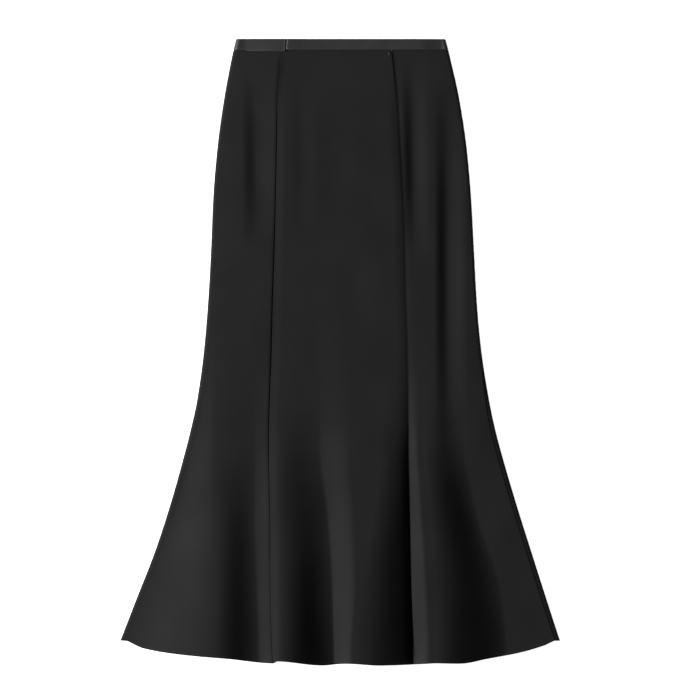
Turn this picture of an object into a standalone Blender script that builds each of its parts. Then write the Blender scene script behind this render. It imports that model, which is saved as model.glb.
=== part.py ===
"""A mermaid skirt with a fishtail hem, laid on its back on a flat surface.

Metres, +Z up. The waist is towards +Y, the hem towards -Y, and the front faces up.
Six gores and a waistband in two lengths, whose end laps over the front beside the concealed zip.
Every piece is cut from one tube of cloth, so that neighbours share their seam lines and normals.
"""
import math
from collections import namedtuple

import bmesh
import bpy
import numpy as np

# Driving dimensions
LENGTH = 0.956          # waist edge to the lowest point of the hem
CLOTH = 0.0012          # wall of a gore
BAND_CLOTH = 0.0020     # wall of the waistband, which is folded double
BAND_LEFT = 0.0168      # depth of the waistband at the left side
BAND_RIGHT = 0.0160     # and at the right side
SEAM_GAP = 0.0003       # between two pieces that are sewn together
BACK_SHOWS = 0.0022     # how far the back hem lies below the front hem
HEM_MIDDLE = 0.945      # the hem's usual depth, where its places across are read
NEST = 0.45             # height of the back's flutes, as a share of the front's
SHOULDER = 8            # how sharply the front turns down at its sides

# Side seams, as angles on the rolled sides: 90 is on top, 0 outermost, -90 on the floor
LEFT_SEAM_ANGLE = -35.0
RIGHT_SEAM_HIP, RIGHT_SEAM_HEM = 0.0, 80.0
RIGHT_SEAM_TURNS = (0.42, 0.60)

# Rows and columns of the cloth
ROWS = 26
ROLL_STEPS_LEFT, ROLL_STEPS_RIGHT = 4, 3    # on the front's share of each roll
SIDE_STEPS, CENTRE_STEPS = 9, 16
BAND_ROWS = 2

# Lap of the waistband, and the concealed zip in the left side seam
LAP_END = -0.0827
TUCK = 0.004            # the front band stops this far inside the side roll
ZIP_TOP, ZIP_END = 0.0200, 0.2100
ZIP_WIDTH, ZIP_WALL = 0.0090, 0.0010
TAB_TOP, TAB_END, TAB_WALL = 0.0215, 0.0345, 0.0009
TAB_ANGLES = (-28.0, 16.0)
TAPE_CLEAR_ANGLE = 8.0  # the tape stops this far round short of the seam

# The outline: distances below the waist edge and places across, heights of the cloth's middle
Section = namedtuple(
    "Section", "drop left_edge left_seam right_seam right_edge side_height mid_height lift roll")
SECTIONS = (
    Section(0.000, -0.1590, -0.0873, 0.0769, 0.1607, 0.0092, 0.0100, 0.0000, 0.0055),
    Section(0.032, -0.1662, -0.0896, 0.0807, 0.1689, 0.0090, 0.0108, 0.0000, 0.0055),
    Section(0.093, -0.1775, -0.0949, 0.0868, 0.1824, 0.0088, 0.0120, 0.0000, 0.0055),
    Section(0.169, -0.1878, -0.0964, 0.0914, 0.1937, 0.0086, 0.0124, 0.0000, 0.0055),
    Section(0.245, -0.1940, -0.0979, 0.0952, 0.2003, 0.0084, 0.0122, 0.0000, 0.0055),
    Section(0.322, -0.1972, -0.0999, 0.0975, 0.2045, 0.0082, 0.0118, 0.0000, 0.0055),
    Section(0.398, -0.2015, -0.1025, 0.0990, 0.2087, 0.0080, 0.0112, 0.0000, 0.0058),
    Section(0.474, -0.2079, -0.1044, 0.1013, 0.2154, 0.0078, 0.0105, 0.0009, 0.0062),
    Section(0.551, -0.2184, -0.1071, 0.1025, 0.2273, 0.0076, 0.0098, 0.0045, 0.0068),
    Section(0.597, -0.2284, -0.1083, 0.1041, 0.2370, 0.0075, 0.0093, 0.0112, 0.0070),
    Section(0.642, -0.2400, -0.1080, 0.1054, 0.2490, 0.0074, 0.0087, 0.0207, 0.0072),
    Section(0.704, -0.2574, -0.1066, 0.1067, 0.2673, 0.0073, 0.0079, 0.0318, 0.0075),
    Section(0.780, -0.2820, -0.1056, 0.1082, 0.2911, 0.0072, 0.0070, 0.0432, 0.0075),
    Section(0.856, -0.3116, -0.1050, 0.1097, 0.3154, 0.0072, 0.0062, 0.0525, 0.0075),
    Section(0.918, -0.3356, -0.1032, 0.1128, 0.3356, 0.0072, 0.0056, 0.0597, 0.0075),
    Section(0.956, -0.3500, -0.1010, 0.1150, 0.3480, 0.0072, 0.0053, 0.0638, 0.0075),
)

# The hem's depth below the waist edge, from side to side
Hem = namedtuple("Hem", "across drop")
HEM = (
    Hem(-0.3356, 0.9180), Hem(-0.3030, 0.9300), Hem(-0.2540, 0.9373), Hem(-0.1800, 0.9440),
    Hem(-0.1030, 0.9522), Hem(-0.0960, 0.9490), Hem(-0.0280, 0.9560), Hem(0.0120, 0.9527),
    Hem(0.0600, 0.9556), Hem(0.1050, 0.9548), Hem(0.1450, 0.9512), Hem(0.1840, 0.9522),
    Hem(0.2230, 0.9460), Hem(0.2720, 0.9375), Hem(0.3140, 0.9266), Hem(0.3356, 0.9180),
)

# The flutes: each row is a crest or a trough, with its share of the lift early and in full, how sharp
# a trough's floor is, and where it lies across at four depths on its way down to the hem
FOLD_DROPS = (0.640, 0.735, 0.826, 0.917)
Fold = namedtuple("Fold", "name early share sharp at_knee at_calf at_flare at_hem")
FOLDS = (
    Fold("left crest", 0.44, 0.68, None, -0.1896, -0.1850, -0.1865, -0.1896),
    Fold("left trough", 0.22, 0.30, 0.20, -0.1300, -0.1300, -0.1270, -0.1239),
    Fold("crest at the left seam", 0.56, 0.56, None, -0.0934, -0.0918, -0.0903, -0.0903),
    Fold("centre trough", 0.00, 0.00, 0.25, -0.0308, -0.0186, -0.0124, -0.0094),
    Fold("centre crest, left", 0.56, 0.56, None, 0.0150, 0.0211, 0.0242, 0.0181),
    Fold("centre crest, right", 0.56, 0.56, None, 0.0609, 0.0486, 0.0334, 0.0242),
    Fold("trough at the right seam", 0.00, 0.00, 0.85, 0.1045, 0.1066, 0.1086, 0.1120),
    Fold("right crest, left", 0.74, 0.74, None, 0.1190, 0.1255, 0.1310, 0.1350),
    Fold("right crest, right", 0.74, 0.74, None, 0.1290, 0.1400, 0.1440, 0.1470),
    Fold("right trough", 0.00, 0.00, 0.20, 0.1891, 0.2105, 0.2410, 0.2533),
)
SHARE_GROWS = (0.60, 0.76)  # depths between which the early shares grow to the full ones
SIDE_SHARP = 0.30       # how sharply the flutes begin at the rolled sides

# Soft hollows over the hips
Hollow = namedtuple("Hollow", "name top end top_across end_across depth left right")
HOLLOWS = (
    Hollow("left hip", 0.050, 0.320, -0.1290, -0.1260, 0.0044, 0.022, 0.040),
    Hollow("right hip", 0.060, 0.640, 0.1640, 0.1660, 0.0066, 0.022, 0.030),
    Hollow("beside the right seam", 0.030, 0.340, 0.1100, 0.1150, 0.0046, 0.018, 0.024),
    Hollow("beside the left seam", 0.060, 0.300, -0.0570, -0.0560, 0.0013, 0.018, 0.024),
)

# How far the cloth sinks towards each pressed seam, and over what width
Press = namedtuple("Press", "seam left_depth left_width right_depth right_width")
PRESSES = (
    Press("left_seam", 0.0002, 0.006, 0.0020, 0.016),
    Press("right_seam", 0.0020, 0.016, 0.0008, 0.010),
)

Finish = namedtuple("Finish", "name colour roughness metallic")
CREPE = Finish("black crepe", (0.016, 0.016, 0.017), 0.85, 0.0)
GROSGRAIN = Finish("black satin band", (0.030, 0.030, 0.031), 0.50, 0.0)
TAPE = Finish("black zip tape", (0.012, 0.012, 0.013), 0.70, 0.0)
METAL = Finish("black metal", (0.020, 0.020, 0.020), 0.35, 0.8)


# --- curves through the tables ---

def ease(t):
    """Turns 0 to 1 into a smooth step."""
    t = np.clip(t, 0.0, 1.0)
    return t * t * (3.0 - 2.0 * t)


def through(keys, values, at):
    """A smooth curve through the points that never overshoots them."""
    keys = np.asarray(keys, float)
    values = np.asarray(values, float)
    at = np.asarray(at, float)
    steps = np.diff(keys)
    slopes = np.diff(values) / steps
    tangents = np.empty(len(keys))
    tangents[0], tangents[-1] = slopes[0], slopes[-1]
    for i in range(1, len(keys) - 1):
        product = slopes[i - 1] * slopes[i]
        tangents[i] = 2.0 * product / (slopes[i - 1] + slopes[i]) if product > 0.0 else 0.0
    k = np.clip(np.searchsorted(keys, at) - 1, 0, len(steps) - 1)
    s = np.clip((at - keys[k]) / steps[k], 0.0, 1.0)
    return ((1 + 2 * s) * (1 - s) ** 2 * values[k] + s * (1 - s) ** 2 * steps[k] * tangents[k]
            + s * s * (3 - 2 * s) * values[k + 1] + s * s * (s - 1) * steps[k] * tangents[k + 1])


def section(name, drop):
    """One column of the sections at a distance below the waist edge."""
    return through([row.drop for row in SECTIONS], [getattr(row, name) for row in SECTIONS], drop)


def hem_drop(across):
    """Depth of the back hem below the waist edge."""
    return through([row.across for row in HEM], [row.drop for row in HEM], across)


def band_depth(across):
    """Depth of the waistband, which narrows from the left side to the right."""
    left, right = SECTIONS[0].left_edge, SECTIONS[0].right_edge
    return BAND_LEFT + (BAND_RIGHT - BAND_LEFT) * (across - left) / (right - left)


# --- relief of the cloth ---

def climb(t, sharp):
    """The way from a trough, 0, up to a rounded crest, 1."""
    t = np.clip(t, 0.0, 1.0)
    return (1.0 - sharp) * np.sin(math.pi * t / 2.0) ** 2 + sharp * (1.0 - (1.0 - t) ** 2)


def flutes(across, drop):
    """The flutes' profile, 0 in the deepest troughs and 1 at the full lift."""
    across, drop = np.broadcast_arrays(np.asarray(across, float), np.asarray(drop, float))
    grown = ease((drop - SHARE_GROWS[0]) / (SHARE_GROWS[1] - SHARE_GROWS[0]))
    lines = [(0.0, SIDE_SHARP, section("left_edge", drop) + section("roll", drop))]
    for fold in FOLDS:
        share = fold.early + (fold.share - fold.early) * grown
        lines.append((share, fold.sharp or 0.0, through(FOLD_DROPS, fold[4:], drop)))
    lines.append((0.0, SIDE_SHARP, section("right_edge", drop) - section("roll", drop)))
    profile = np.zeros(across.shape)
    for (share, sharp, start), (next_share, next_sharp, end) in zip(lines, lines[1:]):
        t = (across - start) / (end - start)
        rising = share + (next_share - share) * climb(t, sharp)
        falling = next_share + (share - next_share) * climb(1.0 - t, next_sharp)
        value = np.where(next_share >= share, rising, falling)
        profile = np.where((across >= start) & (across < end), value, profile)
    return profile


def bank(across, centre, left, right):
    """A soft trough, 1 at its centre, with a bank of its own width on each side."""
    t = np.where(across < centre, (across - centre) / left, (across - centre) / right)
    return np.cos(math.pi / 2.0 * np.clip(t, -1.0, 1.0)) ** 2


def front_height(across, drop):
    """Height of the middle of the front's cloth above the floor."""
    left = section("left_edge", drop)
    right = section("right_edge", drop)
    side = section("side_height", drop)
    middle = section("mid_height", drop)
    reach = np.clip(np.abs(2.0 * across - left - right) / (right - left), 0.0, 1.0)
    height = middle + (side - middle) * reach ** SHOULDER
    height = height + section("lift", drop) * flutes(across, drop)
    for hollow in HOLLOWS:
        t = np.clip((drop - hollow.top) / (hollow.end - hollow.top), 0.0, 1.0)
        centre = hollow.top_across + (hollow.end_across - hollow.top_across) * t
        depth = hollow.depth * np.sin(math.pi * t)
        height = height - depth * bank(across, centre, hollow.left, hollow.right)
    pressed = ease((drop - 0.03) / 0.10)
    for press in PRESSES:
        offset = across - section(press.seam, drop)
        left_share = np.clip(1.0 + offset / press.left_width, 0.0, 1.0) ** 2
        right_share = np.clip(1.0 - offset / press.right_width, 0.0, 1.0) ** 2
        sunk = np.where(offset < 0.0, press.left_depth * left_share, press.right_depth * right_share)
        height = height - pressed * sunk
    return height


def back_height(across, drop, wall):
    """Height of the middle of the back's cloth, which lies on the floor between its flutes."""
    return wall / 2.0 + NEST * section("lift", drop) * flutes(across, drop)


# --- columns of cloth, running down from the waist ---

class Line:
    """A line down the cloth, given by where it lies across at any depth."""

    def __init__(self, name, inset=0.0):
        self.name = name
        self.inset = inset

    def across(self, drop, wall):
        """Where the line lies, with the rolled sides' flat ends allowed for."""
        place = section(self.name, drop)
        if self.name == "left_edge":
            return place + wall / 2.0 + section("roll", drop) + self.inset
        if self.name == "right_edge":
            return place - wall / 2.0 - section("roll", drop) - self.inset
        return place + self.inset


def place(across, drop, height):
    """Turns across, depth and height into points."""
    return np.stack([across, LENGTH / 2.0 - drop, height + 0.0 * across], axis=-1)


def depths(waist, hem, spec, back):
    """Depths of a column's rows, from the waistband to the hem unless the piece has its own ends."""
    start, end = spec.top, spec.end
    if start is None:
        start = band_depth(waist) + SEAM_GAP
    if end is None:
        reach = (hem / SECTIONS[-2].right_edge) ** 2
        end = hem_drop(hem) - (0.0 if back else BACK_SHOWS * np.clip(1.0 - reach, 0.0, 1.0))
    return start + (end - start) * spec.shares


def flat_column(first, last, share, spec, back):
    """A column on the front or the back, a share of the way from one line to another."""
    def between(drop):
        return first.across(drop, spec.wall) * (1 - share) + last.across(drop, spec.wall) * share

    drop = depths(between(BAND_LEFT), between(HEM_MIDDLE), spec, back)
    across = between(drop)
    if back:
        return place(across, drop, back_height(across, drop, spec.wall))
    return place(across, drop, front_height(across, drop) + spec.raised)


def right_seam_angle(drop):
    """The right side seam turns from the side at the hips onto the front above the hem."""
    start, end = RIGHT_SEAM_TURNS
    return RIGHT_SEAM_HIP + (RIGHT_SEAM_HEM - RIGHT_SEAM_HIP) * ease((drop - start) / (end - start))


def roll_column(side, angle, spec):
    """A column on a rolled side, at an angle that may change on the way down."""
    edge = Line(side + "_edge")
    waist, hem = (getattr(SECTIONS[row], side + "_edge") for row in (0, -2))
    drop = depths(waist, hem, spec, True)
    turn = np.radians(angle(drop) if callable(angle) else angle + 0.0 * drop)
    inner = edge.across(drop, spec.wall)
    upper = front_height(inner, drop) + spec.raised
    lower = back_height(inner, drop, spec.wall)
    out = section("roll", drop) * np.cos(turn)
    height = (upper + lower) / 2.0 + (upper - lower) / 2.0 * np.sin(turn)
    return place(inner + (out if side == "right" else -out), drop, height)


Spec = namedtuple("Spec", "wall shares top end raised")


def spread(steps):
    """Shares from 0 to 1, closer together towards both ends."""
    even = np.linspace(0.0, 1.0, steps + 1)
    return 0.6 * even + 0.4 * (1.0 - np.cos(math.pi * even)) / 2.0


def flat_run(first, last, steps, spec, back=False):
    """Columns across the front or the back between two lines."""
    return [flat_column(first, last, share, spec, back) for share in spread(steps)]


def roll_run(side, start, end, steps, spec):
    """Columns round a rolled side from one angle to another; either may change on the way down."""
    columns = []
    for share in np.linspace(0.0, 1.0, steps + 1):
        def angle(drop, share=share):
            first = start(drop) if callable(start) else start
            last = end(drop) if callable(end) else end
            return first + (last - first) * share + 0.0 * drop
        columns.append(roll_column(side, angle, spec))
    return columns


def chain(*runs):
    """Joins runs of columns whose ends are the same line."""
    columns = list(runs[0])
    for run in runs[1:]:
        columns.extend(run[1:])
    return columns


# --- the tube of cloth, and the pieces cut from it ---

LEFT_EDGE, RIGHT_EDGE = Line("left_edge"), Line("right_edge")
LEFT_SEAM, RIGHT_SEAM = Line("left_seam"), Line("right_seam")
GORES = Spec(CLOTH, np.linspace(0.0, 1.0, ROWS + 1), None, None, 0.0)


def gore_runs(spec):
    """The six gores' columns, going round from the left side seam over the front to the back."""
    return {
        "front_side_left": chain(
            roll_run("left", LEFT_SEAM_ANGLE, 90.0, ROLL_STEPS_LEFT, spec),
            flat_run(LEFT_EDGE, LEFT_SEAM, SIDE_STEPS, spec)),
        "front_centre": flat_run(LEFT_SEAM, RIGHT_SEAM, CENTRE_STEPS, spec),
        "front_side_right": chain(
            flat_run(RIGHT_SEAM, RIGHT_EDGE, SIDE_STEPS, spec),
            roll_run("right", 90.0, right_seam_angle, ROLL_STEPS_RIGHT, spec)),
        "back_side_right": chain(
            roll_run("right", right_seam_angle, -90.0, ROLL_STEPS_RIGHT + 1, spec),
            flat_run(RIGHT_EDGE, RIGHT_SEAM, SIDE_STEPS, spec, True)),
        "back_centre": flat_run(RIGHT_SEAM, LEFT_SEAM, CENTRE_STEPS, spec, True),
        "back_side_left": chain(
            flat_run(LEFT_SEAM, LEFT_EDGE, SIDE_STEPS, spec, True),
            roll_run("left", -90.0, LEFT_SEAM_ANGLE, ROLL_STEPS_LEFT - 2, spec)),
    }


def unit(vectors):
    """Vectors of length one."""
    return vectors / np.maximum(np.linalg.norm(vectors, axis=-1, keepdims=True), 1e-12)


def directions(sheet, closed, level_rows=slice(0, 0)):
    """The direction across and the outward normal at each point; level rows' normals don't lean."""
    if closed:
        across = np.roll(sheet, -1, axis=1) - np.roll(sheet, 1, axis=1)
    else:
        across = np.gradient(sheet, axis=1)
    across = unit(across)
    normal = np.cross(np.gradient(sheet, axis=0), across)
    normal[level_rows, :, 1] = 0.0
    return across, unit(normal)


def solid(name, middle, normal, low, high, finish):
    """Closes the wall between two skins, at distances along the normals of a sheet's points."""
    rows, columns = middle.shape[:2]
    mesh = bmesh.new()
    skins = []
    for offset in (high, low):
        points = middle + normal * offset
        skins.append([[mesh.verts.new(points[r, c]) for c in range(columns)] for r in range(rows)])
    upper, lower = skins
    for r in range(rows - 1):
        for c in range(columns - 1):
            mesh.faces.new((upper[r][c], upper[r + 1][c], upper[r + 1][c + 1], upper[r][c + 1]))
            mesh.faces.new((lower[r][c], lower[r][c + 1], lower[r + 1][c + 1], lower[r + 1][c]))
    rim = ([(0, c) for c in range(columns)] + [(r, columns - 1) for r in range(1, rows)]
           + [(rows - 1, c) for c in range(columns - 2, -1, -1)] + [(r, 0) for r in range(rows - 2, 0, -1)])
    for (r, c), (r2, c2) in zip(rim, rim[1:] + rim[:1]):
        mesh.faces.new((upper[r][c], upper[r2][c2], lower[r2][c2], lower[r][c]))
    bmesh.ops.recalc_face_normals(mesh, faces=mesh.faces)
    data = bpy.data.meshes.new(name)
    mesh.to_mesh(data)
    mesh.free()
    data.shade_smooth()
    data.set_sharp_from_angle(angle=math.radians(50.0))
    data.materials.append(material(finish))
    piece = bpy.data.objects.new(name, data)
    bpy.context.collection.objects.link(piece)
    return piece


def material(finish):
    """A plain surface of the finish's colour, made once."""
    found = bpy.data.materials.get(finish.name)
    if found:
        return found
    made = bpy.data.materials.new(finish.name)
    made.use_nodes = True
    shader = made.node_tree.nodes["Principled BSDF"]
    shader.inputs["Base Color"].default_value = (*finish.colour, 1.0)
    shader.inputs["Roughness"].default_value = finish.roughness
    shader.inputs["Metallic"].default_value = finish.metallic
    return made


def cut(runs, closed, wall, finish, level_rows):
    """Cuts pieces out of one sheet of columns, half a seam gap back from each line they share."""
    columns = [column for run in runs.values() for column in run[:-1]]
    if not closed:
        columns.append(list(runs.values())[-1][-1])
    sheet = np.stack(columns, axis=1)
    across, normal = directions(sheet, closed, level_rows)
    total = sheet.shape[1]
    start = 0
    for name, run in runs.items():
        picked = [(start + i) % total for i in range(len(run))]
        middle = sheet[:, picked].copy()
        if closed or start > 0:
            middle[:, 0] += across[:, picked[0]] * SEAM_GAP / 2.0
        start += len(run) - 1
        if closed or start < total - 1:
            middle[:, -1] -= across[:, picked[-1]] * SEAM_GAP / 2.0
        solid(name, middle, normal[:, picked], -wall / 2.0, wall / 2.0, finish)


def patch(name, columns, low, high, finish):
    """A piece that lies beside the cloth, between two distances from its middle."""
    sheet = np.stack(columns, axis=1)
    solid(name, sheet, directions(sheet, False)[1], low, high, finish)


def band_columns(columns, shares):
    """Sets the rows of the waistband's columns between the waist edge and the band's own depth."""
    cut_columns = []
    for column in columns:
        across = np.clip(column[:, 0], SECTIONS[0].left_edge, SECTIONS[0].right_edge)
        column = column.copy()
        column[:, 1] = LENGTH / 2.0 - band_depth(across) * shares
        cut_columns.append(column)
    return cut_columns


def make_waistband():
    """The front band ends under the lap; the back band comes round the left side and laps over it."""
    shares = np.linspace(0.0, 1.0, BAND_ROWS + 1)
    under = Spec(BAND_CLOTH, shares, 0.0, BAND_LEFT, 0.0)
    lap = under._replace(raised=BAND_CLOTH + SEAM_GAP)
    tuck = Line("left_edge", TUCK)
    lap_end = Line("left_seam", LAP_END - SECTIONS[0].left_seam)
    front = chain(flat_run(tuck, RIGHT_EDGE, CENTRE_STEPS, under),
                  roll_run("right", 90.0, RIGHT_SEAM_HIP, ROLL_STEPS_RIGHT, under))
    back = chain(roll_run("right", RIGHT_SEAM_HIP, -90.0, ROLL_STEPS_RIGHT, under),
                 flat_run(RIGHT_EDGE, LEFT_EDGE, CENTRE_STEPS, under, True),
                 roll_run("left", -90.0, 90.0, ROLL_STEPS_LEFT + 2, lap),
                 flat_run(LEFT_EDGE, lap_end, SIDE_STEPS, lap))
    runs = {"waistband_front": band_columns(front, shares), "waistband_back": band_columns(back, shares)}
    cut(runs, False, BAND_CLOTH, GROSGRAIN, slice(None))


def make_zip():
    """The tape lies inside the left side seam, and the slider's tab hangs outside it, on the roll."""
    rows = np.linspace(0.0, 1.0, 9)
    tape = Spec(CLOTH, rows, ZIP_TOP, ZIP_END, 0.0)
    inner = Line("left_edge", ZIP_WIDTH / 2.0)
    columns = chain(flat_run(inner, LEFT_EDGE, 2, tape, True),
                    roll_run("left", -90.0, LEFT_SEAM_ANGLE - TAPE_CLEAR_ANGLE, 2, tape))
    inside = -CLOTH / 2.0 - SEAM_GAP
    patch("side_zip", columns, inside - ZIP_WALL, inside, TAPE)
    tab = Spec(CLOTH, np.linspace(0.0, 1.0, 4), TAB_TOP, TAB_END, 0.0)
    columns = roll_run("left", TAB_ANGLES[0], TAB_ANGLES[1], 3, tab)
    outside = CLOTH / 2.0 + SEAM_GAP
    patch("zip_tab", columns, outside, outside + TAB_WALL, METAL)


def main():
    """Clears the scene and makes the skirt."""
    for thing in list(bpy.data.objects):
        bpy.data.objects.remove(thing, do_unlink=True)
    cut(gore_runs(GORES), True, CLOTH, CREPE, slice(0, 1))
    make_waistband()
    make_zip()


main()
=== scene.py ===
"""The looks of a black mermaid skirt that lies on its back with its flutes spread at the hem.

Metres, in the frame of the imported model: +X to the right, +Y to the waist, +Z up from the floor.
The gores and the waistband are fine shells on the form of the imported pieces, with their seams sunk,
their hems turned and stitched, and the slow unevenness of cloth that lies loose.
"""

import logging
import math
from dataclasses import dataclass
from enum import Enum

import bpy
import numpy as np
from mathutils import Matrix, Vector


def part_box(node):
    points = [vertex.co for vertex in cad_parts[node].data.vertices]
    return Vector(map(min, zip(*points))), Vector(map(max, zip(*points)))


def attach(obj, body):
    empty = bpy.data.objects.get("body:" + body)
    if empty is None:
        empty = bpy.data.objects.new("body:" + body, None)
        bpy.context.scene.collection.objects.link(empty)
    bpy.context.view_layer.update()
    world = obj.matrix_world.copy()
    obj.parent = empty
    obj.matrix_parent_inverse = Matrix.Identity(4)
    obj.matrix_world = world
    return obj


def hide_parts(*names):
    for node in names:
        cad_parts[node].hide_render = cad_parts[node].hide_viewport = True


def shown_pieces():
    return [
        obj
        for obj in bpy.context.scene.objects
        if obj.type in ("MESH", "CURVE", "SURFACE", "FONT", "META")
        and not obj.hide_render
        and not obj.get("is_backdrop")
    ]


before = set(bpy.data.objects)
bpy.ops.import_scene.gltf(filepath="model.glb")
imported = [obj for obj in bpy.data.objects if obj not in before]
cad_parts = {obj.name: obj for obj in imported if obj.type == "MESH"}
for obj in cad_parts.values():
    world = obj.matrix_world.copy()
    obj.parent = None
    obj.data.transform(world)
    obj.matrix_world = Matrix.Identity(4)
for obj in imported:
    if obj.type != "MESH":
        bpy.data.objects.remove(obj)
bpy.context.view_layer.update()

log = logging.getLogger("skirt")
Array = np.ndarray
CLOTH_MAP = "cloth"
EDGE_SHADE_AND_HIGHLIGHT = "edge"


class Face(Enum):
    """Which face of the laid skirt a stretch of cloth is on."""

    FRONT = "front"
    BACK = "back"


class Side(Enum):
    """Which rolled side of the laid skirt a stretch of cloth goes round."""

    LEFT = -1
    RIGHT = 1


# --- the form of the laid skirt ---

@dataclass(frozen=True)
class Station:
    """One level: its depth below the waist edge, its lines' places across, and its heights."""

    drop: float
    left_edge: float
    left_seam: float
    right_seam: float
    right_edge: float
    side_height: float
    mid_height: float
    lift: float
    roll: float


@dataclass(frozen=True)
class Fold:
    """A crest or trough of the flutes: its shares of the lift, its floor's sharpness, its places."""

    name: str
    early: float
    share: float
    sharp: float
    at_knee: float
    at_calf: float
    at_flare: float
    at_hem: float

    def places(self) -> tuple[float, ...]:
        """Where the fold lies across on its way down."""
        return self.at_knee, self.at_calf, self.at_flare, self.at_hem


@dataclass(frozen=True)
class Hollow:
    """A long soft hollow in the cloth over the hips."""

    name: str
    top: float
    end: float
    top_across: float
    end_across: float
    depth: float
    left: float
    right: float


@dataclass(frozen=True)
class Press:
    """How far the cloth sinks towards a pressed seam, and over what width, on each side of it."""

    seam: str
    left_depth: float
    left_width: float
    right_depth: float
    right_width: float


@dataclass(frozen=True)
class Line:
    """A line down the cloth, named for the station's value that it follows, and moved across."""

    name: str
    inset: float = 0.0


def ease(t: Array) -> Array:
    """Turns 0 to 1 into a smooth step."""
    t = np.clip(t, 0.0, 1.0)
    return t * t * (3.0 - 2.0 * t)


def through(keys: Array, values: Array, at: Array) -> Array:
    """A smooth curve through points that never overshoots them.

    Args:
        keys: where the points are, in rising order.
        values: the points' values.
        at: where to read the curve.

    Returns:
        The curve's values.
    """
    steps = np.diff(keys)
    slopes = np.diff(values) / steps
    tangents = np.empty(len(keys))
    tangents[0], tangents[-1] = slopes[0], slopes[-1]
    for i in range(1, len(keys) - 1):
        product = slopes[i - 1] * slopes[i]
        tangents[i] = 2.0 * product / (slopes[i - 1] + slopes[i]) if product > 0.0 else 0.0
    k = np.clip(np.searchsorted(keys, at) - 1, 0, len(steps) - 1)
    s = np.clip((at - keys[k]) / steps[k], 0.0, 1.0)
    return ((1 + 2 * s) * (1 - s) ** 2 * values[k] + s * (1 - s) ** 2 * steps[k] * tangents[k]
            + s * s * (3 - 2 * s) * values[k + 1] + s * s * (s - 1) * steps[k] * tangents[k + 1])


STATIONS = (
    Station(0.000, -0.1590, -0.0873, 0.0769, 0.1607, 0.0092, 0.0100, 0.0000, 0.0055),
    Station(0.032, -0.1662, -0.0896, 0.0807, 0.1689, 0.0090, 0.0108, 0.0000, 0.0055),
    Station(0.093, -0.1775, -0.0949, 0.0868, 0.1824, 0.0088, 0.0120, 0.0000, 0.0055),
    Station(0.169, -0.1878, -0.0964, 0.0914, 0.1937, 0.0086, 0.0124, 0.0000, 0.0055),
    Station(0.245, -0.1940, -0.0979, 0.0952, 0.2003, 0.0084, 0.0122, 0.0000, 0.0055),
    Station(0.322, -0.1972, -0.0999, 0.0975, 0.2045, 0.0082, 0.0118, 0.0000, 0.0055),
    Station(0.398, -0.2015, -0.1025, 0.0990, 0.2087, 0.0080, 0.0112, 0.0000, 0.0058),
    Station(0.474, -0.2079, -0.1044, 0.1013, 0.2154, 0.0078, 0.0105, 0.0009, 0.0062),
    Station(0.551, -0.2184, -0.1071, 0.1025, 0.2273, 0.0076, 0.0098, 0.0045, 0.0068),
    Station(0.597, -0.2284, -0.1083, 0.1041, 0.2370, 0.0075, 0.0093, 0.0112, 0.0070),
    Station(0.642, -0.2400, -0.1080, 0.1054, 0.2490, 0.0074, 0.0087, 0.0207, 0.0072),
    Station(0.704, -0.2574, -0.1066, 0.1067, 0.2673, 0.0073, 0.0079, 0.0318, 0.0075),
    Station(0.780, -0.2820, -0.1056, 0.1082, 0.2911, 0.0072, 0.0070, 0.0432, 0.0075),
    Station(0.856, -0.3116, -0.1050, 0.1097, 0.3154, 0.0072, 0.0062, 0.0525, 0.0075),
    Station(0.918, -0.3356, -0.1032, 0.1128, 0.3356, 0.0072, 0.0056, 0.0597, 0.0075),
    Station(0.956, -0.3500, -0.1010, 0.1150, 0.3480, 0.0072, 0.0053, 0.0638, 0.0075),
)

HEM_PLACES = (-0.3356, -0.3030, -0.2540, -0.1800, -0.1030, -0.0960, -0.0280, 0.0120,
              0.0600, 0.1050, 0.1450, 0.1840, 0.2230, 0.2720, 0.3140, 0.3356)
HEM_DROPS = (0.9180, 0.9300, 0.9373, 0.9440, 0.9522, 0.9490, 0.9560, 0.9527,
             0.9556, 0.9548, 0.9512, 0.9522, 0.9460, 0.9375, 0.9266, 0.9180)

FOLD_DROPS = (0.640, 0.735, 0.826, 0.917)
FOLDS = (
    Fold("left crest", 0.44, 0.68, 0.0, -0.1896, -0.1850, -0.1865, -0.1896),
    Fold("left trough", 0.22, 0.30, 0.20, -0.1300, -0.1300, -0.1270, -0.1239),
    Fold("crest at the left seam", 0.56, 0.56, 0.0, -0.0934, -0.0918, -0.0903, -0.0903),
    Fold("centre trough", 0.00, 0.00, 0.25, -0.0308, -0.0186, -0.0124, -0.0094),
    Fold("centre crest, left", 0.56, 0.56, 0.0, 0.0150, 0.0211, 0.0242, 0.0181),
    Fold("centre crest, right", 0.56, 0.56, 0.0, 0.0609, 0.0486, 0.0334, 0.0242),
    Fold("trough at the right seam", 0.00, 0.00, 0.85, 0.1045, 0.1066, 0.1086, 0.1120),
    Fold("right crest, left", 0.74, 0.74, 0.0, 0.1190, 0.1255, 0.1310, 0.1350),
    Fold("right crest, right", 0.74, 0.74, 0.0, 0.1290, 0.1400, 0.1440, 0.1470),
    Fold("right trough", 0.00, 0.00, 0.20, 0.1891, 0.2105, 0.2410, 0.2533),
)

HOLLOWS = (
    Hollow("left hip", 0.050, 0.320, -0.1290, -0.1260, 0.0044, 0.022, 0.040),
    Hollow("right hip", 0.060, 0.640, 0.1640, 0.1660, 0.0066, 0.022, 0.030),
    Hollow("beside the right seam", 0.030, 0.340, 0.1100, 0.1150, 0.0046, 0.018, 0.024),
    Hollow("beside the left seam", 0.060, 0.300, -0.0570, -0.0560, 0.0013, 0.018, 0.024),
)

PRESSES = (
    Press("left_seam", 0.0002, 0.006, 0.0020, 0.016),
    Press("right_seam", 0.0020, 0.016, 0.0008, 0.010),
)


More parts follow.
